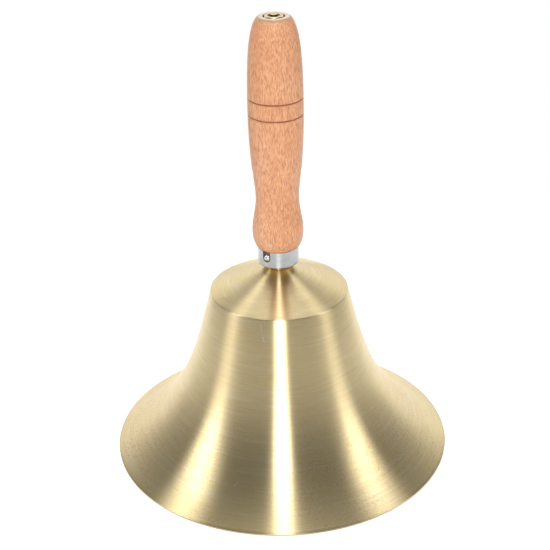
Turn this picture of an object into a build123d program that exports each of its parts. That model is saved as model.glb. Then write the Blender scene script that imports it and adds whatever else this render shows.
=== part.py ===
from build123d import *
import math
import os

# Hand bell: a spun brass cup with a conical shoulder and a wide flared mouth,
# on a turned beech handle.  One long threaded rod ties everything together: it
# runs from a hex nut let into the top of the handle, down through the handle,
# a brass collar and the crown of the bell, and ends below a swivelling stirrup
# that carries the clapper.
#
# Frame: millimetres, +Z up, origin at the centre of the mouth on the surface
# the bell stands on.  The ferrule screw is on the -X -Y side.

# ---------------------------------------------------------------- dimensions
# bell cup
MOUTH_R = 100.0          # outer radius of the lip
LIP_Z = 0.9              # height of the lip's turned edge
LIP_CHAMFER = 0.2
WALL = 1.2               # spun sheet thickness
SHOULDER_Z = 101.5       # sharp crease between shoulder cone and waist
SHOULDER_R = 40.0
WAIST_SLOPE = 0.261      # radius gained per mm below the crease
FLARE_POWER = 4.128      # how late the flare opens
CROWN_R = 8.0            # small flat at the top of the shoulder cone
CROWN_Z = 116.2
CROWN_HOLE_R = 3.15
CREASE_FILLET = 0.5

# collar between crown and handle
COLLAR_R = 7.0
COLLAR_CHAMFER = 0.45

# ferrule
FERRULE_Z0 = 119.2
FERRULE_Z1 = 129.2
FERRULE_R = 11.7
FERRULE_WALL = 1.0
NOTCH_R = 2.45           # U-shaped notch, open to the ferrule's top edge
NOTCH_Z = 125.0
SCREW_ANGLE = 234.0      # degrees about +Z
SCREW_HEAD_R = 1.9
SCREW_HEAD_H = 1.55
SCREW_SHANK_R = 1.1
SCREW_LEN = 6.4

# handle, as (height, radius) up the turned profile
HANDLE_TOP = 262.1
HANDLE_PROFILE = [
    (129.2, 11.97), (129.9, 12.44), (130.9, 13.00), (132.5, 13.67), (134.8, 14.24),
    (138.1, 14.53), (142.1, 14.38), (146.5, 13.76), (151.45, 12.92), (156.4, 12.33),
    (161.4, 12.30), (166.4, 12.73), (173.35, 13.47), (181.3, 14.18), (190.3, 14.77),
    (199.3, 15.14), (208.3, 15.29), (216.3, 15.28), (224.3, 15.14), (232.3, 14.88),
    (239.3, 14.49), (245.25, 13.95), (250.2, 13.26), (254.1, 12.45), (256.9, 11.66),
    (259.0, 10.84), (260.6, 9.93), (261.45, 9.24), (261.9, 8.55),
]
GROOVES_Z = (217.5, 208.3)
GROOVE_W = 1.3
GROOVE_D = 0.85
TENON_R = FERRULE_R - FERRULE_WALL - 0.02
BORE_R = 3.2
COUNTERBORE_R = 6.15
COUNTERBORE_Z = 256.2

# threaded rod and its hardware (M6)
ROD_R = 3.0
ROD_TOP = 263.0
ROD_CHAMFER = 0.6
NUT_AF = 10.0
NUT_H = 5.0
NUT_BORE = 3.04
TOP_WASHER_T = 1.2
TOP_WASHER_R = 6.0
CROWN_WASHER_T = 1.4
CROWN_WASHER_R = 7.0
SPRING_WASHER_T = 1.6
SPRING_WASHER_R = 5.9
THRUST_WASHER_T = 1.0
THRUST_WASHER_R = 5.9
SWIVEL_PLAY = 0.12
LOCK_NUT_H = 5.8

# clapper stirrup
STRAP_T = 2.0
STRAP_W = 10.0
STRAP_GAP = 13.0         # clear width between the legs
STRAP_HOLE_R = 3.08
STRAP_BEND = 2.6         # outside bend radius
PIN_R = 2.0
PIN_HEAD_R = 3.3
PIN_HEAD_T = 1.4
EYE_R = 5.5
EYE_W = 5.0
PIN_SPACER_R = 3.3

# clapper
STEM_R = 2.5
BALL_R = 12.0
BALL_Z = 23.5
BALL_FLAT_R = 5.0
M5_AF = 8.0
M5_H = 4.0
M5_THIN_H = 2.7

os.makedirs("parts", exist_ok=True)


def write(shape, name):
    export_step(shape, f"parts/{name}.step")


def lathe(points):
    """Closed (radius, height) outline turned about Z."""
    with BuildPart() as p:
        with BuildSketch(Plane.XZ) as s:
            with BuildLine():
                Polyline(*points, close=True)
            make_face()
        revolve(axis=Axis.Z)
    return p.part


def ring(r_out, r_in, z0, z1, c_out=0.0, c_in=0.0):
    pts = [(r_in + c_in, z0), (r_out - c_out, z0)]
    if c_out:
        pts.append((r_out, z0 + c_out))
        pts.append((r_out, z1 - c_out))
    else:
        pts.append((r_out, z0))
        pts.append((r_out, z1))
    pts = [p for i, p in enumerate(pts) if i == 0 or p != pts[i - 1]]
    if c_out:
        pts.append((r_out - c_out, z1))
    pts.append((r_in + c_in, z1))
    if c_in:
        pts.append((r_in, z1 - c_in))
        pts.append((r_in, z0 + c_in))
    return lathe(pts)


def hex_nut(af, h, bore, z0, turn=0.0, chamfer_top=True, chamfer_bottom=True):
    """Hex prism with the corners turned off at 30 degrees and a chamfered bore."""
    corner = af / math.sqrt(3)
    body = extrude(Plane.XY.offset(z0) * RegularPolygon(corner, 6, rotation=turn), h)
    drop = (corner - af / 2 * 0.97) * math.tan(math.radians(30))
    z1 = z0 + h
    low = z0 + (drop if chamfer_bottom else 0)
    high = z1 - (drop if chamfer_top else 0)
    r0 = af / 2 * 0.97
    big = corner + 1.0
    grow = (big - r0) * math.tan(math.radians(30))
    pts = [(0, z0), (r0, z0) if chamfer_bottom else (big, z0)]
    if chamfer_bottom:
        pts.append((big, z0 + grow))
    pts.append((big, z1 - grow) if chamfer_top else (big, z1))
    if chamfer_top:
        pts.append((r0, z1))
    pts.append((0, z1))
    body = body & lathe(pts)
    c = 0.35
    hole = lathe([(0, z0 - 1), (bore + c + 1, z0 - 1), (bore, z0 + c), (bore, z1 - c),
                  (bore + c + 1, z1 + 1), (0, z1 + 1)])
    return body - hole


# ---------------------------------------------------------------- bell cup
def waist_radius(z):
    u = SHOULDER_Z - z
    span = SHOULDER_Z - LIP_Z
    k = (MOUTH_R - SHOULDER_R - WAIST_SLOPE * span) / span ** FLARE_POWER
    return SHOULDER_R + WAIST_SLOPE * u + k * u ** FLARE_POWER


def waist_slope(z):
    u = SHOULDER_Z - z
    span = SHOULDER_Z - LIP_Z
    k = (MOUTH_R - SHOULDER_R - WAIST_SLOPE * span) / span ** FLARE_POWER
    return WAIST_SLOPE + k * FLARE_POWER * max(u, 0.0) ** (FLARE_POWER - 1)


def inner_point(z):
    """Point of the inside surface opposite the outside surface at height z."""
    g = waist_slope(z)
    n = math.hypot(1, g)
    return (waist_radius(z) - WALL / n, z - WALL * g / n)


heights = [SHOULDER_Z, 94.0, 86.0, 78.0, 70.0, 62.0, 54.0, 46.0, 38.5, 31.5, 25.0, 19.0, 13.5, 8.5, 4.3, LIP_Z]
outer = [(waist_radius(z), z) for z in heights]
inner = [inner_point(z) for z in heights]

cone_angle = math.atan2(CROWN_Z - SHOULDER_Z, SHOULDER_R - CROWN_R)
# inside crease: where the inside of the cone meets the inside of the waist
nx, nz = math.sin(cone_angle), math.cos(cone_angle)
ix, iz = inner[0]
g0 = waist_slope(SHOULDER_Z)
# line of the inside cone: passes through (SHOULDER_R - nx*WALL, SHOULDER_Z - nz*WALL)
px, pz = SHOULDER_R - nx * WALL, SHOULDER_Z - nz * WALL
dx, dz = -math.cos(cone_angle), math.sin(cone_angle)
wx, wz = g0, -1.0
det = dx * (-wz) - dz * (-wx)
s = ((ix - px) * (-wz) - (iz - pz) * (-wx)) / det
crease_in = (px + s * dx, pz + s * dz)
inner[0] = crease_in
t_top = (CROWN_Z - WALL - pz) / dz
crown_in = (px + t_top * dx, CROWN_Z - WALL)

# the inside surface runs on to the plane the bell stands on
lx, lz = inner[-1]
gl = waist_slope(LIP_Z)
foot_in = (lx + lz * gl, 0.0) if lz > 0 else (lx - (0 - lz) * gl, 0.0)
if lz <= 0.02:
    # the last inside point is below the standing plane: stop the curve on it
    inner = inner[:-1]
inner.append(foot_in)

start_out = Vector(waist_slope(SHOULDER_Z), -1).normalized()
end_out = Vector(waist_slope(LIP_Z), -1).normalized()

with BuildPart() as cup:
    with BuildSketch(Plane.XZ):
        with BuildLine():
            Spline(*outer, tangents=[start_out, end_out])
            Polyline((MOUTH_R, LIP_Z), (MOUTH_R, LIP_CHAMFER), (MOUTH_R - LIP_CHAMFER, 0.0), foot_in)
            Spline(*inner[::-1], tangents=[-end_out, -start_out])
            Polyline(crease_in, crown_in, (CROWN_HOLE_R, CROWN_Z - WALL), (CROWN_HOLE_R, CROWN_Z), (CROWN_R, CROWN_Z), (SHOULDER_R, SHOULDER_Z))
        make_face()
    revolve(axis=Axis.Z)
    crease = [e for e in cup.part.edges().filter_by(GeomType.CIRCLE)
              if abs(e.radius - SHOULDER_R) < 1e-3 and abs(e.arc_center.Z - SHOULDER_Z) < 1e-3]
    fillet(crease, CREASE_FILLET)
    knuckle = [e for e in cup.part.edges().filter_by(GeomType.CIRCLE)
               if abs(e.radius - CROWN_R) < 1e-3 and abs(e.arc_center.Z - CROWN_Z) < 1e-3]
    fillet(knuckle, 0.8)
write(cup.part, "bell_shell")

# ---------------------------------------------------------------- collar
write(ring(COLLAR_R, CROWN_HOLE_R, CROWN_Z, FERRULE_Z0, COLLAR_CHAMFER, 0.0), "crown_collar")

# ---------------------------------------------------------------- ferrule
radial = Plane.XY.rotated((0, 0, SCREW_ANGLE))
ferrule = ring(FERRULE_R, FERRULE_R - FERRULE_WALL, FERRULE_Z0, FERRULE_Z1, 0.25, 0.15)
# cutter along the radius at the screw's angle: a round hole opened upwards
notch_plane = Plane(origin=(0, 0, NOTCH_Z), x_dir=(-math.sin(math.radians(SCREW_ANGLE)), math.cos(math.radians(SCREW_ANGLE)), 0),
                    z_dir=(math.cos(math.radians(SCREW_ANGLE)), math.sin(math.radians(SCREW_ANGLE)), 0))
with BuildPart() as notch:
    with BuildSketch(notch_plane):
        Circle(NOTCH_R)
        with Locations((0, 5)):
            Rectangle(2 * NOTCH_R, 10)
    extrude(amount=FERRULE_R + 2)
ferrule = ferrule - notch.part
write(ferrule, "ferrule")

# ---------------------------------------------------------------- ferrule screw
SEAT = TENON_R + 0.02
head_plane = notch_plane.offset(SEAT)
with BuildPart() as screw:
    with BuildSketch(Plane.XZ):
        with BuildLine():
            # profile in (radius, along the axis), turned about the local Z
            rim = 0.55
            Polyline((0, -SCREW_LEN), (0.25, -SCREW_LEN), (SCREW_SHANK_R, -SCREW_LEN + 1.5), (SCREW_SHANK_R, 0), (SCREW_HEAD_R, 0), (SCREW_HEAD_R, rim))
            ThreePointArc((SCREW_HEAD_R, rim), (SCREW_HEAD_R * 0.62, SCREW_HEAD_H - 0.22), (0, SCREW_HEAD_H))
            Line((0, SCREW_HEAD_H), (0, -SCREW_LEN))
        make_face()
    revolve(axis=Axis.Z)
    # cross recess
    with BuildSketch(Plane.XY.offset(SCREW_HEAD_H - 0.75)):
        with Locations(Rotation(0, 0, 25)):
            Rectangle(2.1, 0.5)
            Rectangle(0.5, 2.1)
    extrude(amount=2, mode=Mode.SUBTRACT)
write(screw.part.moved(head_plane.location), "ferrule_screw")

# ---------------------------------------------------------------- handle
rim_pts = [(r, z) for z, r in HANDLE_PROFILE]
with BuildPart() as grip:
    with BuildSketch(Plane.XZ):
        with BuildLine():
            Spline(*rim_pts)
            Polyline(rim_pts[-1], (COUNTERBORE_R, HANDLE_TOP), (0, HANDLE_TOP), (0, FERRULE_Z0), (TENON_R, FERRULE_Z0), (TENON_R, FERRULE_Z1), rim_pts[0])
        make_face()
    revolve(axis=Axis.Z)
    Cylinder(BORE_R, 2 * (HANDLE_TOP + 10), mode=Mode.SUBTRACT)
    with Locations((0, 0, COUNTERBORE_Z)):
        Cylinder(COUNTERBORE_R, 20, align=(Align.CENTER, Align.CENTER, Align.MIN), mode=Mode.SUBTRACT)
body = grip.part
for gz in GROOVES_Z:
    r = max(b for a, b in HANDLE_PROFILE)
    for (za, ra), (zb, rb) in zip(HANDLE_PROFILE, HANDLE_PROFILE[1:]):
        if za <= gz <= zb:
            r = ra + (rb - ra) * (gz - za) / (zb - za)
    body = body - lathe([(r - GROOVE_D, gz - GROOVE_W * 0.22), (r + 1, gz - GROOVE_W * 0.5 - 0.3), (r + 1, gz + GROOVE_W * 0.5 + 0.3), (r - GROOVE_D, gz + GROOVE_W * 0.22)])
pilot = Cylinder(SCREW_SHANK_R + 0.02, SCREW_LEN + 6, align=(Align.CENTER, Align.CENTER, Align.MIN)).moved(notch_plane.offset(SEAT - SCREW_LEN - 0.05).location)
body = body - pilot
write(body, "handle_grip")

# ---------------------------------------------------------------- rod and nuts
z = COUNTERBORE_Z
write(ring(TOP_WASHER_R, 3.2, z, z + TOP_WASHER_T, 0.15), "handle_washer")
write(hex_nut(NUT_AF, NUT_H, NUT_BORE, z + TOP_WASHER_T, turn=30), "handle_nut")

z = CROWN_Z - WALL
write(ring(CROWN_WASHER_R, 3.2, z - CROWN_WASHER_T, z, 0.15), "crown_washer")
z -= CROWN_WASHER_T
spring = ring(SPRING_WASHER_R, 3.15, z - SPRING_WASHER_T, z)
slit = Box(6, 0.9, 6).rotate(Axis.X, 25).moved(Location((5.2, 0, z - SPRING_WASHER_T / 2)))
write(spring - slit, "crown_spring_washer")
z -= SPRING_WASHER_T
write(hex_nut(NUT_AF, NUT_H, NUT_BORE, z - NUT_H, turn=12), "crown_nut")
z -= NUT_H
upper_thrust = (z - THRUST_WASHER_T, z)
z -= THRUST_WASHER_T + SWIVEL_PLAY
web_top = z
web_bottom = z - STRAP_T
z = web_bottom - SWIVEL_PLAY
lower_thrust = (z - THRUST_WASHER_T, z)
z -= THRUST_WASHER_T
lock_top = z
lock_bottom = z - LOCK_NUT_H
rod_bottom = lock_bottom - 1.0
washers = [ring(THRUST_WASHER_R, 3.1, a, b, 0.12) for a, b in (upper_thrust, lower_thrust)]
write(Compound(children=washers), "swivel_washers")
# nylon-insert lock nut: hexagon below, plain turned collar (with the insert) on top of it, seen upside down
lock_hex = hex_nut(NUT_AF, 4.4, NUT_BORE, lock_top - 4.4, turn=3)
lock_collar = ring(4.6, NUT_BORE, lock_bottom, lock_top - 4.4, 0.5)
write(lock_hex + lock_collar, "swivel_lock_nut")

rod = lathe([(0, rod_bottom), (ROD_R - ROD_CHAMFER, rod_bottom), (ROD_R, rod_bottom + ROD_CHAMFER),
             (ROD_R, ROD_TOP - ROD_CHAMFER), (ROD_R - ROD_CHAMFER, ROD_TOP), (0, ROD_TOP)])
write(rod, "tie_rod")

# ---------------------------------------------------------------- stirrup
PIN_Z = rod_bottom - 0.8 - EYE_R
half = STRAP_GAP / 2
with BuildPart() as strap:
    with BuildSketch(Plane.XZ):
        with BuildLine():
            o = half + STRAP_T
            ri = STRAP_BEND - STRAP_T
            leg_end = PIN_Z - STRAP_W / 2
            FilletPolyline((-o, leg_end), (-o, web_top), (o, web_top), (o, leg_end), radius=STRAP_BEND)
            FilletPolyline((-half, leg_end), (-half, web_bottom), (half, web_bottom), (half, leg_end), radius=ri)
            Line((-o, leg_end), (-half, leg_end))
            Line((o, leg_end), (half, leg_end))
        make_face()
    extrude(amount=STRAP_W / 2, both=True)
    # round the ends of the legs about the pin
    with BuildSketch(Plane.YZ.offset(-20)) as ends:
        with Locations((0, PIN_Z)):
            Rectangle(STRAP_W + 4, STRAP_W / 2 + 2, align=(Align.CENTER, Align.MAX))
            Circle(STRAP_W / 2, mode=Mode.SUBTRACT)
    extrude(amount=40, mode=Mode.SUBTRACT)
    with Locations((0, 0, web_bottom - 1)):
        Cylinder(STRAP_HOLE_R, 10, mode=Mode.SUBTRACT)
    with Locations(Location((0, 0, PIN_Z), (0, 90, 0))):
        Cylinder(PIN_R + 0.02, 60, mode=Mode.SUBTRACT)
write(strap.part, "clapper_stirrup")

# pin with a round head, a clip on its plain end, and a spacer each side of the clapper's eye
def along_x(part):
    return part.rotate(Axis.Y, 90).moved(Location((0, 0, PIN_Z)))

o = half + STRAP_T
pin = lathe([(0, -o - PIN_HEAD_T), (PIN_HEAD_R - 0.5, -o - PIN_HEAD_T), (PIN_HEAD_R, -o - PIN_HEAD_T + 0.5), (PIN_HEAD_R, -o),
             (PIN_R, -o), (PIN_R, o + 2.2), (PIN_R - 0.4, o + 2.6), (0, o + 2.6)])
write(along_x(pin), "clapper_pin")
clip = ring(4.2, PIN_R + 0.02, o + 0.1, o + 0.9, 0.1)
slots = [Box(1.2, 0.5, 3).moved(Location((2.35 * math.cos(math.radians(a)), 2.35 * math.sin(math.radians(a)), o + 0.5), (0, 0, a))) for a in (30, 150, 270)]
for b in slots:
    clip = clip - b
write(along_x(clip), "clapper_pin_clip")
gap0, gap1 = EYE_W / 2 + 0.12, half - 0.05
spacers = [along_x(ring(PIN_SPACER_R, PIN_R + 0.03, a, b, 0.15)) for a, b in ((gap0, gap1), (-gap1, -gap0))]
write(Compound(children=spacers), "clapper_pin_spacers")

# ---------------------------------------------------------------- clapper
ball_flat_z = math.sqrt(BALL_R ** 2 - BALL_FLAT_R ** 2)
ball_top, ball_bottom = BALL_Z + ball_flat_z, BALL_Z - ball_flat_z
stem_end = ball_bottom - M5_THIN_H - 0.5
eye = Cylinder(EYE_R, EYE_W).rotate(Axis.Y, 90).moved(Location((0, 0, PIN_Z)))
eye = fillet(eye.edges(), 0.8)
stem = lathe([(0, stem_end), (STEM_R - 0.45, stem_end), (STEM_R, stem_end + 0.45), (STEM_R, PIN_Z), (0, PIN_Z)])
neck = lathe([(0, PIN_Z - EYE_R - 5.5), (STEM_R, PIN_Z - EYE_R - 5.5), (STEM_R, PIN_Z - EYE_R - 5.4), (EYE_W / 2 + 0.6, PIN_Z - EYE_R + 0.4), (0, PIN_Z - EYE_R + 0.4)])
neck = neck & Box(EYE_W, 20, 40).moved(Location((0, 0, PIN_Z - EYE_R)))
rod_part = eye + stem + neck
rod_part = rod_part - Cylinder(PIN_R + 0.06, 40).rotate(Axis.Y, 90).moved(Location((0, 0, PIN_Z)))
write(rod_part, "clapper_rod")

with BuildPart() as ball:
    with BuildSketch(Plane.XZ):
        with BuildLine():
            a0 = math.asin(BALL_FLAT_R / BALL_R)
            Line((STEM_R + 0.04, ball_bottom), (BALL_FLAT_R, ball_bottom))
            ThreePointArc((BALL_FLAT_R, ball_bottom), (BALL_R, BALL_Z), (BALL_FLAT_R, ball_top))
            Polyline((BALL_FLAT_R, ball_top), (STEM_R + 0.04, ball_top), (STEM_R + 0.04, ball_bottom))
        make_face()
    revolve(axis=Axis.Z)
write(ball.part, "clapper_ball")
write(hex_nut(M5_AF, M5_H, STEM_R + 0.04, ball_top, turn=18), "clapper_upper_nut")
write(hex_nut(M5_AF, M5_THIN_H, STEM_R + 0.04, ball_bottom - M5_THIN_H, turn=7), "clapper_lower_nut")

print("PIN_Z", round(PIN_Z, 3), "rod_bottom", round(rod_bottom, 3), "web", round(web_bottom, 3), round(web_top, 3),
      "stem_end", round(stem_end, 3), "ball flats", round(ball_bottom, 3), round(ball_top, 3), "leg end", round(leg_end, 3))
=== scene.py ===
import bpy
import bmesh
import math
import numpy as np
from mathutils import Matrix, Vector


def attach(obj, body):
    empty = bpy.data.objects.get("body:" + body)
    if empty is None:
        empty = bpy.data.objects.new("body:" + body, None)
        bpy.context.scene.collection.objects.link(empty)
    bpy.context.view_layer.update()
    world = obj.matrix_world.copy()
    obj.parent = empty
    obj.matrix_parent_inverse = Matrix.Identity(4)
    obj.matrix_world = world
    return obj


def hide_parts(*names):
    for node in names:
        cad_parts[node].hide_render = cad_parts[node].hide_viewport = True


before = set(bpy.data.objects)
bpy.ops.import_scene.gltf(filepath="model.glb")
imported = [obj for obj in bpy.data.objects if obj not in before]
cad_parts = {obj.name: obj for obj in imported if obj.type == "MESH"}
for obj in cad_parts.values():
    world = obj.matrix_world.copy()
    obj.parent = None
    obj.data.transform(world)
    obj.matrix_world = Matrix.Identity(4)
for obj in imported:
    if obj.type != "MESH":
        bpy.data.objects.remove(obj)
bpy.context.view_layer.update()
MM = 0.001
scene = bpy.context.scene


# ------------------------------------------------------------------ helpers
def link(obj):
    scene.collection.objects.link(obj)
    return obj


def mesh_object(name, verts, faces, uvs=None, smooth=True, sharp=None):
    me = bpy.data.meshes.new(name)
    me.from_pydata([tuple(v) for v in verts], [], faces)
    if uvs is not None:
        lay = me.uv_layers.new(name="UVMap")
        flat = [c for f in uvs for uv in f for c in uv]
        lay.data.foreach_set("uv", flat)
    me.polygons.foreach_set("use_smooth", [smooth] * len(me.polygons))
    if sharp is not None:
        me.set_sharp_from_angle(angle=math.radians(sharp))
    me.update()
    return link(bpy.data.objects.new(name, me))


def curve_through(points, step, ends=None):
    """Points every step mm along a natural cubic spline through (r, z) points."""
    p = np.array(points, float)
    t = np.r_[0, np.cumsum(np.hypot(*np.diff(p, axis=0).T))]
    n = len(t)
    h = np.diff(t)
    out = []
    second = []
    for c in range(2):
        y = p[:, c]
        a = np.zeros((n, n))
        b = np.zeros(n)
        a[0, 0] = a[-1, -1] = 1
        for i in range(1, n - 1):
            a[i, i - 1], a[i, i], a[i, i + 1] = h[i - 1], 2 * (h[i - 1] + h[i]), h[i]
            b[i] = 6 * ((y[i + 1] - y[i]) / h[i] - (y[i] - y[i - 1]) / h[i - 1])
        second.append(np.linalg.solve(a, b))
    ts = np.linspace(0, t[-1], max(2, int(round(t[-1] / step)) + 1))
    k = np.clip(np.searchsorted(t, ts, side="right") - 1, 0, n - 2)
    for c in range(2):
        y, m = p[:, c], second[c]
        d1, d0 = t[k + 1] - ts, ts - t[k]
        out.append(m[k] * d1 ** 3 / (6 * h[k]) + m[k + 1] * d0 ** 3 / (6 * h[k])
                   + (y[k] / h[k] - m[k] * h[k] / 6) * d1 + (y[k + 1] / h[k] - m[k + 1] * h[k] / 6) * d0)
    return list(zip(*out))


def rounded(path, radii, step=0.12):
    """Polyline of (r, z) with its inner corners rounded: radii[i] for corner i, 0 keeps it."""
    out = [path[0]]
    for i in range(1, len(path) - 1):
        p, a, b = (Vector(q) for q in (path[i], path[i - 1], path[i + 1]))
        r = radii[i] if i < len(radii) else 0
        u, v = (a - p), (b - p)
        if r <= 0 or u.length < 1e-6 or v.length < 1e-6:
            out.append(tuple(p))
            continue
        lu, lv = u.length, v.length
        u.normalize()
        v.normalize()
        ang = math.acos(max(-1, min(1, u.dot(v))))
        if abs(math.pi - ang) < 0.02:
            out.append(tuple(p))
            continue
        cut = min(r / math.tan(ang / 2), 0.48 * lu, 0.48 * lv)
        rr = cut * math.tan(ang / 2)
        n = max(3, int(math.ceil(rr * (math.pi - ang) / step)))
        s, e = p + u * cut, p + v * cut
        mid = (u + v).normalized()
        c = p + mid * (rr / math.sin(ang / 2))
        a0, a1 = math.atan2(s.y - c.y, s.x - c.x), math.atan2(e.y - c.y, e.x - c.x)
        d = (a1 - a0 + math.pi) % (2 * math.pi) - math.pi
        out += [(c.x + rr * math.cos(a0 + d * j / n), c.y + rr * math.sin(a0 + d * j / n)) for j in range(n + 1)]
    out.append(path[-1])
    return out


def dense(path, most):
    """Adds points so that no span is longer than most mm."""
    out = [path[0]]
    for a, b in zip(path, path[1:]):
        n = max(1, int(math.ceil(math.hypot(b[0] - a[0], b[1] - a[1]) / most)))
        out += [(a[0] + (b[0] - a[0]) * j / n, a[1] + (b[1] - a[1]) * j / n) for j in range(1, n + 1)]
    return out


def lathe(name, path, segs, closed, sharp=None, centre=(0, 0, 0), shift=None):
    """Turns a path of (r, z) in mm about Z. A closed path makes a ring; an open one starts and ends on the axis.
    Its UV runs once round in u, and in metres along the path in v. The path keeps the solid on its left going up."""
    c = np.cos(np.linspace(0, 2 * math.pi, segs, endpoint=False))
    s = np.sin(np.linspace(0, 2 * math.pi, segs, endpoint=False))
    verts, rings = [], []
    for i, (r, z) in enumerate(path):
        if r < 1e-6:
            rings.append([len(verts)])
            verts.append((centre[0], centre[1], centre[2] + z * MM))
        else:
            rings.append(list(range(len(verts), len(verts) + segs)))
            dz = np.zeros(segs) if shift is None else shift(i, r, z)
            verts += [(centre[0] + r * MM * c[j], centre[1] + r * MM * s[j], centre[2] + (z + dz[j]) * MM) for j in range(segs)]
    length = np.r_[0, np.cumsum([math.hypot(b[0] - a[0], b[1] - a[1]) for a, b in zip(path, path[1:])])]
    if closed:
        length = np.r_[length, length[-1] + math.hypot(path[0][0] - path[-1][0], path[0][1] - path[-1][1])]
        rings.append(rings[0])
    length = length * MM
    faces, uvs = [], []
    for i in range(len(rings) - 1):
        a, b = rings[i], rings[i + 1]
        va, vb = length[i], length[i + 1]
        for j in range(segs):
            k = (j + 1) % segs
            u0, u1 = j / segs, (j + 1) / segs
            if len(a) == 1 and len(b) == 1:
                continue
            if len(a) == 1:
                faces.append((a[0], b[k], b[j]))
                uvs.append(((u0, va), (u1, vb), (u0, vb)))
            elif len(b) == 1:
                faces.append((a[j], a[k], b[0]))
                uvs.append(((u0, va), (u1, va), (u0, vb)))
            else:
                faces.append((a[j], a[k], b[k], b[j]))
                uvs.append(((u0, va), (u1, va), (u1, vb), (u0, vb)))
    return mesh_object(name, verts, faces, uvs, True, sharp)


# ------------------------------------------------------------------ node helpers
class Nodes:
    def __init__(self, name):
        self.mat = bpy.data.materials.new(name)
        self.mat.use_nodes = True
        self.t = self.mat.node_tree
        self.t.nodes.clear()
        self.out = self.t.nodes.new("ShaderNodeOutputMaterial")
        self.bsdf = self.t.nodes.new("ShaderNodeBsdfPrincipled")
        self.t.links.new(self.bsdf.outputs[0], self.out.inputs[0])

    def new(self, kind, **props):
        n = self.t.nodes.new(kind)
        for k, v in props.items():
            setattr(n, k, v)
        return n

    def link(self, a, b):
        self.t.links.new(a, b)

    def set(self, node, key, val):
        if isinstance(val, bpy.types.NodeSocket):
            self.link(val, node.inputs[key])
        else:
            node.inputs[key].default_value = val

    def math(self, op, a, b=0.0, c=None, clamp=False):
        n = self.new("ShaderNodeMath", operation=op, use_clamp=clamp)
        self.set(n, 0, a)
        self.set(n, 1, b)
        if c is not None:
            self.set(n, 2, c)
        return n.outputs[0]

    def combine(self, x, y, z):
        n = self.new("ShaderNodeCombineXYZ")
        for i, v in enumerate((x, y, z)):
            self.set(n, i, v)
        return n.outputs[0]

    def noise(self, vec, scale, detail=2.0, rough=0.5, distort=0.0):
        n = self.new("ShaderNodeTexNoise")
        self.set(n, "Vector", vec)
        self.set(n, "Scale", scale)
        self.set(n, "Detail", detail)
        self.set(n, "Roughness", rough)
        self.set(n, "Distortion", distort)
        return n.outputs["Fac"]

    def remap(self, val, a, b, c, d, kind="LINEAR", clamp=True):
        n = self.new("ShaderNodeMapRange", interpolation_type=kind, clamp=clamp)
        for i, v in enumerate((val, a, b, c, d)):
            self.set(n, i, v)
        return n.outputs[0]

    def mix(self, fac, a, b, blend="MIX"):
        n = self.new("ShaderNodeMix", data_type="RGBA", blend_type=blend)
        for key, v in ((0, fac), (6, a), (7, b)):
            if isinstance(v, bpy.types.NodeSocket):
                self.link(v, n.inputs[key])
            elif key == 0:
                n.inputs[0].default_value = v
            else:
                n.inputs[key].default_value = (*v, 1.0) if len(v) == 3 else v
        return n.outputs[2]

    def ramp(self, fac, stops, interp="LINEAR"):
        n = self.new("ShaderNodeValToRGB")
        n.color_ramp.interpolation = interp
        els = n.color_ramp.elements
        while len(els) > 1:
            els.remove(els[-1])
        els[0].position, els[0].color = stops[0][0], (*stops[0][1], 1)
        for pos, col in stops[1:]:
            e = els.new(pos)
            e.color = (*col, 1)
        self.link(fac, n.inputs[0])
        return n.outputs[0]

    def bump(self, height, strength, distance, normal=None):
        n = self.new("ShaderNodeBump")
        self.set(n, "Height", height)
        self.set(n, "Strength", strength)
        self.set(n, "Distance", distance)
        if normal is not None:
            self.link(normal, n.inputs["Normal"])
        return n.outputs[0]

    def object_xyz(self):
        tc = self.new("ShaderNodeTexCoord")
        s = self.new("ShaderNodeSeparateXYZ")
        self.link(tc.outputs["Object"], s.inputs[0])
        return tc.outputs["Object"], s.outputs[0], s.outputs[1], s.outputs[2]

    def turned(self, x, y):
        """Radius from the axis, and the unit vector round it: both seamless all round."""
        r = self.math("SQRT", self.math("ADD", self.math("MULTIPLY", x, x), self.math("MULTIPLY", y, y)))
        safe = self.math("MAXIMUM", r, 1e-5)
        return r, self.math("DIVIDE", x, safe), self.math("DIVIDE", y, safe)


# ------------------------------------------------------------------ camera
cam_data = bpy.data.cameras.new("camera")
cam = link(bpy.data.objects.new("camera", cam_data))
cam_data.sensor_fit = "HORIZONTAL"
cam_data.sensor_width = 36.0
cam_data.lens = 36.0 * 1245.34 / 550.0
CAM_DIST, CAM_H = 642.02, 438.93
CAM_PITCH, CAM_ROLL, CAM_YAW = 0.4741, -0.0215, -0.0035
fwd = Vector((math.sin(CAM_YAW), math.cos(CAM_YAW), 0))
side = Vector((math.cos(CAM_YAW), -math.sin(CAM_YAW), 0))
upv = Vector((0, 0, 1))
look = fwd * math.cos(CAM_PITCH) - upv * math.sin(CAM_PITCH)
up2 = upv * math.cos(CAM_PITCH) + fwd * math.sin(CAM_PITCH)
right = side * math.cos(CAM_ROLL) + up2 * math.sin(CAM_ROLL)
up = up2 * math.cos(CAM_ROLL) - side * math.sin(CAM_ROLL)
cam.location = Vector((0, -CAM_DIST * MM, CAM_H * MM))
from mathutils import Matrix
rot = Matrix((right, up, -look)).transposed()
cam.rotation_mode = "QUATERNION"
cam.rotation_quaternion = rot.to_quaternion()
cam_data.clip_start, cam_data.clip_end = 0.01, 50
scene.camera = cam
scene.view_settings.view_transform = "Standard"
scene.view_settings.look = "None"
scene.view_settings.exposure = 0.0
scene.view_settings.gamma = 1.0

# ------------------------------------------------------------------ world: soft studio surround
world = bpy.data.worlds.new("studio")
scene.world = world
world.use_nodes = True
wt = world.node_tree
wt.nodes.clear()


def wn(kind, **props):
    n = wt.nodes.new(kind)
    for k, v in props.items():
        setattr(n, k, v)
    return n


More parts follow.
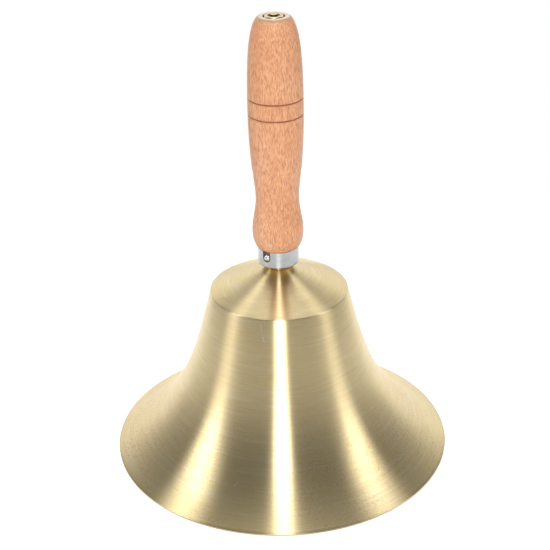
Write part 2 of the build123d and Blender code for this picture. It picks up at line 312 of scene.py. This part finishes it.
def wmath(op, a, b=0.0, clamp=False):
    n = wn("ShaderNodeMath", operation=op, use_clamp=clamp)
    for i, v in enumerate((a, b)):
        if isinstance(v, bpy.types.NodeSocket):
            wt.links.new(v, n.inputs[i])
        else:
            n.inputs[i].default_value = v
    return n.outputs[0]


def wsmooth(val, a, b):
    n = wn("ShaderNodeMapRange", interpolation_type="SMOOTHSTEP")
    wt.links.new(val, n.inputs[0])
    n.inputs[1].default_value, n.inputs[2].default_value = a, b
    return n.outputs[0]


def wmix(fac, a, b):
    n = wn("ShaderNodeMix", data_type="RGBA")
    for key, v in ((0, fac), (6, a), (7, b)):
        if isinstance(v, bpy.types.NodeSocket):
            wt.links.new(v, n.inputs[key])
        else:
            n.inputs[key].default_value = v
    return n.outputs[2]


def wadd(base, fac, color):
    """base + fac * color"""
    n = wn("ShaderNodeVectorMath", operation="SCALE")
    n.inputs[0].default_value = color
    wt.links.new(fac, n.inputs["Scale"])
    m = wn("ShaderNodeVectorMath", operation="ADD")
    wt.links.new(base, m.inputs[0])
    wt.links.new(n.outputs[0], m.inputs[1])
    return m.outputs[0]


def wsquash(val, mid, half, power=4):
    """exp(-((val - mid) / half) ** power): a soft-edged window."""
    u = wmath("ABSOLUTE", wmath("DIVIDE", wmath("SUBTRACT", val, mid), half))
    return wmath("EXPONENT", wmath("MULTIPLY", wmath("POWER", u, float(power)), -1.0))


tc = wn("ShaderNodeTexCoord")
sep = wn("ShaderNodeSeparateXYZ")
wt.links.new(tc.outputs["Generated"], sep.inputs[0])
dx, dy, dz = sep.outputs
azim = wmath("MULTIPLY", wmath("ARCTAN2", dx, wmath("MULTIPLY", dy, -1.0)), 180 / math.pi)
elev = wmath("MULTIPLY", wmath("ARCSINE", dz), 180 / math.pi)
around = wmath("ABSOLUTE", azim)


def softbox(base, azimuth, half_width, elevation, half_height, level):
    """adds one white softbox with soft edges; azimuth is measured from the camera's side, right positive"""
    seen = wmath("MULTIPLY", wsquash(azim, azimuth, half_width), wsquash(elev, elevation, half_height))
    return wadd(base, seen, (level, level, level))


# plain white studio: a dim room that is paler at table height, a white backdrop behind the object that is
# brighter towards the ceiling, a strip box in front and a soft box on each side
room = wmix(wsmooth(elev, 5, 45), (0.25, 0.25, 0.25, 1), (0.05, 0.05, 0.05, 1))
base = wmix(wsmooth(around, 120, 150), room, (0.95, 0.95, 0.95, 1))
base = wadd(base, wmath("MULTIPLY", wsmooth(around, 110, 150), wsmooth(elev, 45, 65)), (1.2, 1.2, 1.2))
base = softbox(base, 0, 8, 40, 50, 5.0)
base = softbox(base, -80, 10, 35, 20, 4.5)
base = softbox(base, 80, 10, 35, 20, 3.5)
bg = wn("ShaderNodeBackground")
wt.links.new(base, bg.inputs[0])
bg.inputs[1].default_value = 1.0
white = wn("ShaderNodeBackground")
white.inputs[0].default_value = (1, 1, 1, 1)
lp = wn("ShaderNodeLightPath")
ms = wn("ShaderNodeMixShader")
wt.links.new(lp.outputs["Is Camera Ray"], ms.inputs[0])
wt.links.new(bg.outputs[0], ms.inputs[1])
wt.links.new(white.outputs[0], ms.inputs[2])
wo = wn("ShaderNodeOutputWorld")
wt.links.new(ms.outputs[0], wo.inputs[0])
world.cycles.sampling_method = "MANUAL"
world.cycles.sample_map_resolution = 1024

# ------------------------------------------------------------------ fill on the handle only, front and back
def soft_lamp(name, azimuth, elevation, dist, size, power, color, target):
    d = bpy.data.lights.new(name, "AREA")
    d.shape, d.size, d.energy, d.color = "DISK", size, power, color
    o = link(bpy.data.objects.new(name, d))
    a, e = math.radians(azimuth), math.radians(elevation)
    way = Vector((math.sin(a) * math.cos(e), -math.cos(a) * math.cos(e), math.sin(e)))
    o.location = Vector(target) + way * dist
    o.rotation_mode = "QUATERNION"
    o.rotation_quaternion = way.to_track_quat("Z", "Y")
    o.visible_camera = False
    return o


# ------------------------------------------------------------------ floor
me = bpy.data.meshes.new("floor")
FLOOR_R = 0.43
ring_pts = [(FLOOR_R * math.cos(2 * math.pi * i / 128), FLOOR_R * math.sin(2 * math.pi * i / 128), 0) for i in range(128)]
me.from_pydata(ring_pts, [], [tuple(range(128))])
floor = link(bpy.data.objects.new("floor", me))
floor.location.z = -0.00005
fm = bpy.data.materials.new("floor_white")
fm.use_nodes = True
ft = fm.node_tree
ft.nodes.clear()
fo = ft.nodes.new("ShaderNodeOutputMaterial")
fd = ft.nodes.new("ShaderNodeBsdfDiffuse")
fd.inputs[0].default_value = (0.9, 0.9, 0.9, 1)
fe = ft.nodes.new("ShaderNodeEmission")
fe.inputs[0].default_value = (1, 1, 1, 1)
fe.inputs[1].default_value = 0.45
fa = ft.nodes.new("ShaderNodeAddShader")
ft.links.new(fd.outputs[0], fa.inputs[0])
ft.links.new(fe.outputs[0], fa.inputs[1])
under = ft.nodes.new("ShaderNodeNewGeometry")
clear = ft.nodes.new("ShaderNodeBsdfTransparent")
fx = ft.nodes.new("ShaderNodeMixShader")
ft.links.new(under.outputs["Backfacing"], fx.inputs[0])
ft.links.new(fa.outputs[0], fx.inputs[1])
ft.links.new(clear.outputs[0], fx.inputs[2])
ft.links.new(fx.outputs[0], fo.inputs[0])
floor.data.materials.append(fm)


# ------------------------------------------------------------------ materials
def brushed_brass(inside_from, name="brushed_brass"):
    n = Nodes(name)
    obj, x, y, z = n.object_xyz()
    r, cx, cy = n.turned(x, y)
    uv = n.new("ShaderNodeUVMap", uv_map="UVMap")
    s = n.new("ShaderNodeSeparateXYZ")
    n.link(uv.outputs[0], s.inputs[0])
    v = s.outputs[1]

    def lines(round_it, along, detail, rough):
        """brush lines that run round the bell: slow round it, fast along the profile"""
        return n.noise(n.combine(n.math("MULTIPLY", cx, round_it), n.math("MULTIPLY", cy, round_it), n.math("MULTIPLY", v, along)), 1.0, detail, rough)

    hair = lines(5.0, 3400.0, 2.0, 0.5)
    fine = lines(3.2, 1500.0, 2.0, 0.5)
    mid = lines(1.6, 520.0, 2.0, 0.5)
    cloud = n.noise(obj, 26.0, 4.0, 0.6)
    stain = n.noise(obj, 55.0, 5.0, 0.62, 0.4)
    grain = n.noise(n.combine(n.math("MULTIPLY", cx, 60.0), n.math("MULTIPLY", cy, 60.0), n.math("MULTIPLY", v, 1100.0)), 1.0, 3.0, 0.6)
    base = n.mix(n.remap(cloud, 0.35, 0.68, 0.0, 1.0), (0.915, 0.755, 0.42), (0.89, 0.71, 0.39))
    base = n.mix(n.remap(fine, 0.42, 0.68, 0.0, 0.20), base, (0.64, 0.51, 0.29))
    base = n.mix(n.remap(hair, 0.45, 0.70, 0.0, 0.20), base, (0.60, 0.48, 0.28))
    base = n.mix(n.remap(mid, 0.50, 0.72, 0.0, 0.34), base, (0.97, 0.88, 0.66))
    # handled and dulled most towards the mouth
    low = n.remap(z, 0.075, 0.01, 0.0, 1.0, "SMOOTHSTEP")
    worn = n.math("MULTIPLY", n.remap(grain, 0.50, 0.66, 0.0, 1.0, "SMOOTHSTEP"), n.math("MULTIPLY", low, n.remap(cloud, 0.40, 0.58, 0.15, 1.0)))
    base = n.mix(n.math("MULTIPLY", worn, 0.42), base, (0.50, 0.34, 0.22))
    # tarnish gathered along the cut edge of the lip
    base = n.mix(n.remap(z, 0.0004, 0.0017, 0.60, 0.0), base, (0.38, 0.29, 0.17))
    base = n.mix(n.math("MULTIPLY", n.remap(stain, 0.62, 0.76, 0.0, 1.0), 0.30), base, (0.60, 0.42, 0.22))
    # two short scratches under the shoulder, and a few light ones lower down
    ang = n.math("ARCTAN2", x, n.math("MULTIPLY", y, -1.0))
    marks = None
    for a0, z0, z1, lean, wide in ((-0.243, 0.0944, 0.0994, -5.2, 0.00034), (-0.206, 0.0884, 0.0928, -6.3, 0.00036), (0.83, 0.052, 0.058, 3.0, 0.00024),
                                   (-0.36, 0.0150, 0.0185, 14.0, 0.00026), (-1.02, 0.040, 0.0415, 18.0, 0.00024), (2.2, 0.060, 0.068, 2.0, 0.00024), (-2.6, 0.030, 0.034, 9.0, 0.00025)):
        at = n.math("ADD", n.math("MULTIPLY", n.math("SUBTRACT", z, z0), lean), a0)
        off = n.math("MULTIPLY", n.math("ABSOLUTE", n.math("SUBTRACT", ang, at)), r)
        m = n.math("MULTIPLY", n.remap(off, wide * 0.4, wide, 1.0, 0.0), n.math("MULTIPLY", n.remap(z, z0, z0 + 0.0012, 0.0, 1.0), n.remap(z, z1, z1 - 0.0012, 0.0, 1.0)))
        marks = m if marks is None else n.math("MAXIMUM", marks, m)
    base = n.mix(n.math("MULTIPLY", marks, 0.9), base, (1.0, 0.98, 0.90))
    # inside the cup the brass is left as spun: duller, with scuffs where the ball strikes
    inner = n.remap(v, inside_from - 0.0005, inside_from + 0.0005, 0.0, 1.0)
    band = n.math("MULTIPLY", n.remap(z, 0.0350, 0.0405, 0.0, 1.0, "SMOOTHSTEP"), n.remap(z, 0.0520, 0.0465, 0.0, 1.0, "SMOOTHSTEP"))
    scuff = n.noise(n.combine(n.math("MULTIPLY", cx, 14.0), n.math("MULTIPLY", cy, 14.0), n.math("MULTIPLY", z, 260.0)), 1.0, 3.0, 0.6)
    scuff = n.math("MULTIPLY", n.math("MULTIPLY", band, inner), n.remap(scuff, 0.52, 0.70, 0.0, 1.0, "SMOOTHSTEP"))
    base = n.mix(n.math("MULTIPLY", inner, 0.45), base, (0.74, 0.56, 0.28))
    base = n.mix(n.math("MULTIPLY", scuff, 0.40), base, (0.92, 0.80, 0.52))
    n.set(n.bsdf, "Base Color", base)
    n.bsdf.inputs["Metallic"].default_value = 1.0
    rough = n.math("ADD", n.math("ADD", 0.284, n.math("MULTIPLY", inner, 0.05)), n.math("MULTIPLY", n.math("SUBTRACT", fine, 0.5), 0.05))
    rough = n.math("ADD", rough, n.math("MULTIPLY", n.math("SUBTRACT", hair, 0.5), 0.04))
    rough = n.math("ADD", rough, n.math("MULTIPLY", n.math("SUBTRACT", cloud, 0.5), 0.04))
    rough = n.math("ADD", rough, n.math("MULTIPLY", worn, 0.05))
    rough = n.math("MAXIMUM", n.math("ADD", rough, n.math("MULTIPLY", marks, 0.25)), 0.277)
    n.set(n.bsdf, "Roughness", rough)
    n.bsdf.inputs["Anisotropic"].default_value = 1.0
    n.bsdf.inputs["Anisotropic Rotation"].default_value = 0.25
    tan = n.new("ShaderNodeTangent", direction_type="RADIAL", axis="Z")
    n.link(tan.outputs[0], n.bsdf.inputs["Tangent"])
    h = n.math("ADD", n.math("MULTIPLY", hair, 0.4), n.math("ADD", n.math("MULTIPLY", fine, 0.8), n.math("MULTIPLY", mid, 0.8)))
    n.link(n.bump(h, 0.30, 0.000012), n.bsdf.inputs["Normal"])
    return n.mat


def turned_brass(name, scale=1.0, bore_shade=None):
    n = Nodes(name)
    obj, x, y, z = n.object_xyz()
    r, cx, cy = n.turned(x, y)
    ringv = n.math("ADD", n.math("MULTIPLY", r, 2600.0), n.math("MULTIPLY", z, 2600.0))
    fine = n.noise(n.combine(n.math("MULTIPLY", cx, 1.5), n.math("MULTIPLY", cy, 1.5), ringv), 1.0, 2.0, 0.6)
    cloud = n.noise(obj, 220.0 * scale, 3.0, 0.6)
    base = n.mix(n.remap(cloud, 0.35, 0.7, 0.0, 1.0), (0.86, 0.72, 0.40), (0.80, 0.62, 0.30))
    base = n.mix(n.remap(fine, 0.48, 0.72, 0.0, 0.30), base, (0.58, 0.44, 0.22))
    if bore_shade is not None:
        # painted shade: the bore and its chamfer round the rod are painted near black, standing in for the shadow in
        # the gap there
        near, far = bore_shade
        base = n.mix(n.remap(r, near, far, 0.85, 0.0, "SMOOTHSTEP"), base, (0.050, 0.038, 0.022))
    n.set(n.bsdf, "Base Color", base)
    n.bsdf.inputs["Metallic"].default_value = 1.0
    n.set(n.bsdf, "Roughness", n.remap(fine, 0.2, 0.8, 0.18, 0.34))
    n.link(n.bump(fine, 0.15, 0.00004), n.bsdf.inputs["Normal"])
    return n.mat


def rod_brass(name="rod_brass"):
    n = Nodes(name)
    obj, x, y, z = n.object_xyz()
    r, cx, cy = n.turned(x, y)
    cloud = n.noise(obj, 400.0, 3.0, 0.6)
    lathe_ = n.noise(n.combine(0.0, 0.0, n.math("MULTIPLY", r, 5000.0)), 1.0, 2.0, 0.6)
    base = n.mix(n.remap(cloud, 0.35, 0.7, 0.0, 1.0), (0.88, 0.75, 0.45), (0.80, 0.63, 0.32))
    # painted shade: the thread roots and the chamfered lead-in are painted near black, standing in for the shadow in
    # these hollows
    root = n.math("MULTIPLY", n.remap(r, 0.00255, 0.00292, 1.0, 0.0, "SMOOTHSTEP"), n.remap(r, 0.0015, 0.0019, 0.0, 1.0))
    base = n.mix(n.math("MULTIPLY", root, 0.88), base, (0.045, 0.034, 0.020))
    n.set(n.bsdf, "Base Color", base)
    n.bsdf.inputs["Metallic"].default_value = 1.0
    n.set(n.bsdf, "Roughness", n.remap(lathe_, 0.3, 0.7, 0.20, 0.34))
    n.link(n.bump(n.math("ADD", cloud, lathe_), 0.2, 0.00003), n.bsdf.inputs["Normal"])
    return n.mat


def beech(name="beech"):
    n = Nodes(name)
    obj, x, y, z = n.object_xyz()
    r, cx, cy = n.turned(x, y)

    def grain(across, along, detail, rough, distort=0.0, seed=0.0):
        """cells drawn out along the handle, as the vessels and rays of the wood are"""
        return n.noise(n.combine(n.math("MULTIPLY", x, across), n.math("ADD", n.math("MULTIPLY", y, across), seed), n.math("MULTIPLY", z, along)), 1.0, detail, rough, distort)

    # sawn from a plank: growth layers are nearly flat sheets along the grain
    warp = grain(30.0, 5.0, 2.0, 0.5)
    layer = n.math("ADD", n.math("MULTIPLY", n.math("ADD", n.math("MULTIPLY", x, 0.45), y), 360.0), n.math("MULTIPLY", warp, 9.0))
    rings = n.noise(n.combine(layer, 0.0, n.math("MULTIPLY", z, 4.0)), 1.0, 2.0, 0.55)
    tone = grain(95.0, 22.0, 4.0, 0.6)
    lean = grain(60.0, 30.0, 2.0, 0.5, 0.0, 7.0)
    flecks = grain(2000.0, 300.0, 2.0, 0.5)
    flecks2 = grain(1200.0, 150.0, 2.0, 0.5, 0.0, 3.0)
    pores = grain(2600.0, 300.0, 1.0, 0.5, 0.0, 11.0)
    base = n.ramp(tone, [(0.30, (0.880, 0.490, 0.280)), (0.5, (0.815, 0.415, 0.225)), (0.70, (0.720, 0.330, 0.162))])
    base = n.mix(n.remap(rings, 0.35, 0.70, 0.0, 0.35), base, (0.78, 0.375, 0.195))
    base = n.mix(n.remap(lean, 0.55, 0.75, 0.0, 0.35), base, (0.93, 0.57, 0.38))
    base = n.mix(n.remap(flecks, 0.50, 0.62, 0.0, 0.66, "SMOOTHSTEP"), base, (0.58, 0.23, 0.105))
    base = n.mix(n.remap(flecks2, 0.54, 0.66, 0.0, 0.50, "SMOOTHSTEP"), base, (0.62, 0.265, 0.125))
    base = n.mix(n.remap(pores, 0.58, 0.66, 0.0, 0.60, "SMOOTHSTEP"), base, (0.40, 0.15, 0.07))
    base = n.mix(n.remap(flecks, 0.44, 0.32, 0.0, 0.30, "SMOOTHSTEP"), base, (0.95, 0.60, 0.40))
    # the two turned grooves are painted dark, partly as burn marks and partly as painted shade in the groove; the foot
    # where it meets the ferrule is painted dark as the shadow at that joint
    for gz in (0.2175, 0.2083):
        off = n.math("ABSOLUTE", n.math("SUBTRACT", z, gz + 0.00012))
        base = n.mix(n.remap(off, 0.00022, 0.00070, 0.72, 0.0, "SMOOTHSTEP"), base, (0.26, 0.10, 0.045))
    # painted shade: a dark band on the wood just above the ferrule, the shadow where wood meets metal
    base = n.mix(n.remap(z, 0.1292, 0.1304, 0.55, 0.0, "SMOOTHSTEP"), base, (0.33, 0.15, 0.07))
    # end grain on the crown of the handle is greyer and takes less varnish
    crown = n.math("MULTIPLY", n.remap(z, 0.2606, 0.2620, 0.0, 1.0, "SMOOTHSTEP"), 0.85)
    base = n.mix(crown, base, (0.38, 0.31, 0.215))
    # painted light: the tenon's end face, in shade under the ferrule, is painted pale so that the cone below reflects
    # it bright
    base = n.mix(n.remap(z, 0.11935, 0.11925, 0.0, 0.9), base, (0.90, 0.78, 0.56))
    # painted shade: the tenon inside the ferrule, seen through its notch, and the bores are painted near black for the
    # shadow inside them
    tenon_shade = n.math("MULTIPLY", n.remap(z, 0.1210, 0.1216, 0.0, 1.0), n.math("MULTIPLY", n.remap(z, 0.12915, 0.12922, 1.0, 0.0), n.remap(r, 0.0102, 0.0104, 0.0, 1.0)))
    inside = n.math("MAXIMUM", tenon_shade, n.math("MULTIPLY", n.remap(r, 0.0062, 0.0064, 1.0, 0.0), n.remap(z, 0.2619, 0.2616, 0.0, 1.0)))
    base = n.mix(n.math("MULTIPLY", inside, 0.78), base, (0.060, 0.040, 0.030))
    n.set(n.bsdf, "Base Color", base)
    n.set(n.bsdf, "Roughness", n.remap(tone, 0.3, 0.7, 0.40, 0.52))
    n.bsdf.inputs["Coat Weight"].default_value = 0.22
    n.bsdf.inputs["Specular IOR Level"].default_value = 0.35
    n.bsdf.inputs["Coat Roughness"].default_value = 0.24
    h = n.math("SUBTRACT", n.math("MULTIPLY", tone, 0.3), n.math("ADD", n.remap(flecks, 0.52, 0.66, 0.0, 0.7), n.remap(pores, 0.58, 0.68, 0.0, 0.7)))
    n.link(n.bump(h, 0.35, 0.00010), n.bsdf.inputs["Normal"])
    return n.mat


def turned_metal(name, color, dark, rough, ring=2400.0, aniso=0.55, foot=None):
    n = Nodes(name)
    obj, x, y, z = n.object_xyz()
    r, cx, cy = n.turned(x, y)
    fine = n.noise(n.combine(n.math("MULTIPLY", cx, 1.6), n.math("MULTIPLY", cy, 1.6), n.math("MULTIPLY", z, ring)), 1.0, 3.0, 0.65)
    cloud = n.noise(obj, 260.0, 3.0, 0.6)
    base = n.mix(n.remap(cloud, 0.3, 0.75, 0.0, 1.0), color, dark)
    base = n.mix(n.remap(fine, 0.45, 0.70, 0.0, 0.22), base, tuple(0.6 * c for c in dark))
    if foot is not None:
        # painted shade: a dark band along the bottom edge, thicker on one side, stands in for the shadow in the gap
        # above the crown collar
        uneven = n.math("ADD", foot + 0.00028, n.math("MULTIPLY", n.math("SUBTRACT", cloud, 0.5), 0.0005))
        base = n.mix(n.remap(n.math("SUBTRACT", z, uneven), 0.0, 0.00025, 0.85, 0.0), base, (0.07, 0.065, 0.06))
    n.set(n.bsdf, "Base Color", base)
    n.bsdf.inputs["Metallic"].default_value = 1.0
    n.set(n.bsdf, "Roughness", n.remap(fine, 0.25, 0.75, rough - 0.05, rough + 0.08))
    n.bsdf.inputs["Anisotropic"].default_value = aniso
    n.bsdf.inputs["Anisotropic Rotation"].default_value = 0.25
    tan = n.new("ShaderNodeTangent", direction_type="RADIAL", axis="Z")
    n.link(tan.outputs[0], n.bsdf.inputs["Tangent"])
    n.link(n.bump(fine, 0.2, 0.00004), n.bsdf.inputs["Normal"])
    return n.mat


def plated_steel(name, color, dark, rough):
    n = Nodes(name)
    obj, x, y, z = n.object_xyz()
    mottle = n.noise(obj, 700.0, 3.0, 0.6)
    grain = n.noise(obj, 2600.0, 2.0, 0.5)
    n.set(n.bsdf, "Base Color", n.mix(n.remap(mottle, 0.35, 0.7, 0.0, 1.0), color, dark))
    n.bsdf.inputs["Metallic"].default_value = 1.0
    n.set(n.bsdf, "Roughness", n.remap(mottle, 0.3, 0.7, rough - 0.06, rough + 0.08))
    n.link(n.bump(grain, 0.12, 0.00003), n.bsdf.inputs["Normal"])
    return n.mat


M_TURNED = turned_brass("turned_brass")
# the handle nut carries painted shade round its bore, fading out from 3.1 to 3.8 mm from the axis
M_NUT = turned_brass("nut_brass", 1.0, (0.0031, 0.0038))
M_BALL = turned_brass("clapper_brass", 0.5)
M_ROD = rod_brass()
M_BEECH = beech()
# the ferrule's material paints a shadow line along its foot
M_FERRULE = turned_metal("ferrule_metal", (0.64, 0.655, 0.67), (0.56, 0.575, 0.60), 0.32, foot=0.1192)
M_SCREW = plated_steel("screw_steel", (0.93, 0.93, 0.93), (0.86, 0.86, 0.87), 0.30)
M_ZINC = plated_steel("zinc_steel", (0.60, 0.62, 0.66), (0.50, 0.52, 0.56), 0.30)
M_SPRING = plated_steel("spring_steel", (0.20, 0.20, 0.22), (0.14, 0.14, 0.15), 0.32)

# ------------------------------------------------------------------ bell cup
MOUTH_R, LIP_Z, WALL = 100.0, 0.9, 1.2
SHOULDER_Z, SHOULDER_R, SLOPE, POWER = 101.5, 40.0, 0.261, 4.128
CROWN_R, CROWN_Z, HOLE_R = 8.0, 116.2, 3.15
span = SHOULDER_Z - LIP_Z
K = (MOUTH_R - SHOULDER_R - SLOPE * span) / span ** POWER


def cup_r(z):
    u = SHOULDER_Z - z
    return SHOULDER_R + SLOPE * u + K * u ** POWER


def cup_g(z):
    return SLOPE + K * POWER * max(SHOULDER_Z - z, 0.0) ** (POWER - 1)


zs = SHOULDER_Z - span * (np.linspace(0, 1, 110) ** 0.85)
outer = [(cup_r(z), z) for z in zs]
inner = []
for z in zs:
    g = cup_g(z)
    q = math.hypot(1, g)
    inner.append((cup_r(z) - WALL / q, z - WALL * g / q))
inner = [p for p in inner if p[1] > 0.25]
tilt = math.atan2(CROWN_Z - SHOULDER_Z, SHOULDER_R - CROWN_R)
ci = (SHOULDER_R - math.sin(tilt) * WALL - 0.30, SHOULDER_Z - math.cos(tilt) * WALL + 0.12)
g = cup_g(LIP_Z)
foot = (99.17, 0.0)
body = []
# up the inside from the foot, over the inside crease to the crown, through the hole, down the outside, round the lip
body += [foot] + inner[::-1][:-1]
inside_top = [inner[1], ci, (CROWN_R - 0.5, CROWN_Z - WALL), (HOLE_R, CROWN_Z - WALL), (HOLE_R, CROWN_Z), (CROWN_R, CROWN_Z), (SHOULDER_R, SHOULDER_Z), outer[1]]
body += dense(rounded(inside_top, [0, 0.5, 0.8, 0.0, 0.1, 0.9, 0.45, 0]), 1.4)[1:-1]
body += outer[1:-1]
lip = [outer[-2], (MOUTH_R, LIP_Z), (MOUTH_R, 0.0), foot]
body += rounded(lip, [0, 0.22, 0.22, 0], 0.06)[1:-1]
clean = [body[0]]
for p in body[1:]:
    if math.hypot(p[0] - clean[-1][0], p[1] - clean[-1][1]) > 0.01:
        clean.append(p)
bell = lathe("bell_cup", clean[::-1], 320, True, 50)
INSIDE_FROM = MM * sum(math.hypot(q[0] - p[0], q[1] - p[1]) for p, q in zip(clean[::-1], clean[::-1][1:]) if q[1] >= p[1] or q[0] > HOLE_R + 0.2 and q[1] > CROWN_Z - WALL / 2)
M_BELL = brushed_brass(INSIDE_FROM)
bell.data.materials.append(M_BELL)
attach(bell, "root")
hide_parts("bell_shell")

# ------------------------------------------------------------------ handle
FERRULE_Z0, FERRULE_Z1, TENON_R = 119.2, 129.2, 10.68
HANDLE_TOP, BORE_R, COUNTERBORE_R, COUNTERBORE_Z = 262.1, 3.2, 5.9, 256.2
PROFILE = [
    (129.2, 11.97), (129.9, 12.44), (130.9, 13.00), (132.5, 13.67), (134.8, 14.24),
    (138.1, 14.53), (142.1, 14.38), (146.5, 13.76), (151.45, 12.92), (156.4, 12.33),
    (161.4, 12.30), (166.4, 12.73), (173.35, 13.47), (181.3, 14.18), (190.3, 14.77),
    (199.3, 15.14), (208.3, 15.29), (216.3, 15.28), (224.3, 15.14), (232.3, 14.88),
    (239.3, 14.49), (245.25, 13.95), (250.2, 13.26), (254.1, 12.45), (256.9, 11.66),
    (259.0, 10.84), (260.6, 9.93), (261.45, 9.24), (261.9, 8.55),
]
GROOVES, GROOVE_W, GROOVE_D = (217.5, 208.3), 1.25, 0.8
side_curve = curve_through([(r, z) for z, r in PROFILE], 0.7)
wood = []
for r, z in side_curve:
    if all(abs(z - gz) > GROOVE_W / 2 + 0.35 for gz in GROOVES):
        wood.append((r, z))
zz, rr = np.array([p[1] for p in side_curve]), np.array([p[0] for p in side_curve])
for gz in GROOVES:
    for t in np.linspace(-1, 1, 21):
        zq = gz + t * (GROOVE_W / 2 + 0.3)
        rq = float(np.interp(zq, zz, rr))
        q = abs(t) * (GROOVE_W / 2 + 0.3) / (GROOVE_W / 2)
        wood.append((rq - GROOVE_D * max(0.0, 1 - q) ** 0.85 * (1.0 if q < 1 else 0.0), zq))
wood.sort(key=lambda p: p[1])
top = rounded([wood[-1], (8.35, 262.02), (COUNTERBORE_R, HANDLE_TOP), (COUNTERBORE_R, COUNTERBORE_Z), (BORE_R, COUNTERBORE_Z), (BORE_R, FERRULE_Z0),
               (TENON_R, FERRULE_Z0), (TENON_R, FERRULE_Z1), (11.97, FERRULE_Z1)], [0, 0.3, 0.28, 0.0, 0.0, 0.0, 0.2, 0.0, 0.0])
path = wood + dense(top, 4.0)[1:]
clean = [path[0]]
for p in path[1:]:
    if math.hypot(p[0] - clean[-1][0], p[1] - clean[-1][1]) > 0.02:
        clean.append(p)
handle = lathe("handle", clean, 192, True, 50)
handle.data.materials.append(M_BEECH)
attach(handle, "root")
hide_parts("handle_grip")
lit = bpy.data.collections.new("handle_light")
lit.objects.link(handle)
for args in (("fill_front", 4, 38, 1.1, 0.30, 3.6, (1.0, 0.94, 0.86)), ("fill_left", -50, 15, 1.1, 0.5, 0.8, (1.0, 0.95, 0.86)), ("fill_right", 52, 15, 1.1, 0.5, 0.8, (1.0, 0.95, 0.86)),
             ("fill_back", 180, 35, 1.1, 0.5, 4.0, (1.0, 0.96, 0.90))):
    soft_lamp(*args, (0, 0, 0.20)).light_linking.receiver_collection = lit

# ------------------------------------------------------------------ tie rod with its thread cut at both ends
def threaded(name, r, pitch, depth, z0, z1, chamfer, spans, segs=48):
    """A rod about Z from z0 to z1 mm, with a right-hand V thread over the spans and chamfered ends."""
    zl = {z0, z0 + chamfer, z1 - chamfer, z1}
    for a, b in spans:
        zl |= set(np.round(np.arange(max(a, z0), min(b, z1), pitch / 10), 4))
    zl = sorted(zl)
    th = np.linspace(0, 2 * math.pi, segs, endpoint=False)
    verts, faces = [], []
    for z in zl:
        on = 0.0
        for a, b in spans:
            on = max(on, min(1.0, (z - a) / pitch if a > z0 else 1.0, (b - z) / pitch if b < z1 else 1.0))
        p = (z / pitch - th / (2 * math.pi)) % 1.0
        cut = np.clip((np.abs(p - 0.5) * 2 - 0.14) / 0.70, 0, 1)
        rr_ = r - 0.01 - depth * max(on, 0.0) * (1 - cut)
        rr_ = np.minimum(rr_, r - chamfer + min(z - z0, z1 - z))
        verts += [(q * MM * math.cos(t), q * MM * math.sin(t), z * MM) for q, t in zip(rr_, th)]
    for i in range(len(zl) - 1):
        for j in range(segs):
            k = (j + 1) % segs
            faces.append((i * segs + j, i * segs + k, (i + 1) * segs + k, (i + 1) * segs + j))
    last = (len(zl) - 1) * segs
    verts += [(0, 0, z0 * MM), (0, 0, z1 * MM)]
    b, t = len(verts) - 2, len(verts) - 1
    faces += [(b, (j + 1) % segs, j) for j in range(segs)] + [(t, last + j, last + (j + 1) % segs) for j in range(segs)]
    return mesh_object(name, verts, faces, None, True, 35)


ROD_R, ROD_BOTTOM, ROD_TOP = 3.0, 95.96, 263.0
rod = threaded("rod_threaded", ROD_R, 1.0, 0.56, ROD_BOTTOM, ROD_TOP, 1.0, ((ROD_BOTTOM, 122.0), (246.0, ROD_TOP)))
rod.data.materials.append(M_ROD)
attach(rod, "root")
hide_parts("tie_rod")

# ------------------------------------------------------------------ carried-over CAD nodes
for node, mat in {
    "crown_collar": M_TURNED, "ferrule": M_FERRULE, "ferrule_screw": M_SCREW, "handle_washer": M_TURNED, "handle_nut": M_NUT,
    "crown_washer": M_TURNED, "crown_spring_washer": M_SPRING, "crown_nut": M_ZINC, "swivel_washers": M_TURNED,
    "swivel_lock_nut": M_ZINC, "clapper_stirrup": M_ZINC, "clapper_pin": M_ZINC, "clapper_pin_clip": M_SPRING,
    "clapper_pin_spacers": M_TURNED, "clapper_rod": M_ZINC, "clapper_ball": M_BALL, "clapper_upper_nut": M_ZINC, "clapper_lower_nut": M_ZINC,
}.items():
    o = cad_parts[node]
    for s in o.material_slots:
        s.material = mat

# worn corners on the hardware: a small bevel that the light catches
for node, width in {"crown_collar": 0.25, "ferrule": 0.12, "ferrule_screw": 0.10, "handle_washer": 0.10, "handle_nut": 0.12, "crown_washer": 0.12, "crown_nut": 0.14,
                    "swivel_washers": 0.10, "swivel_lock_nut": 0.14, "clapper_stirrup": 0.22, "clapper_upper_nut": 0.12, "clapper_lower_nut": 0.12}.items():
    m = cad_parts[node].modifiers.new("worn_corners", "BEVEL")
    m.width = width * MM
    m.segments = 2
    m.limit_method = "ANGLE"
    m.angle_limit = math.radians(32)
    m.harden_normals = False
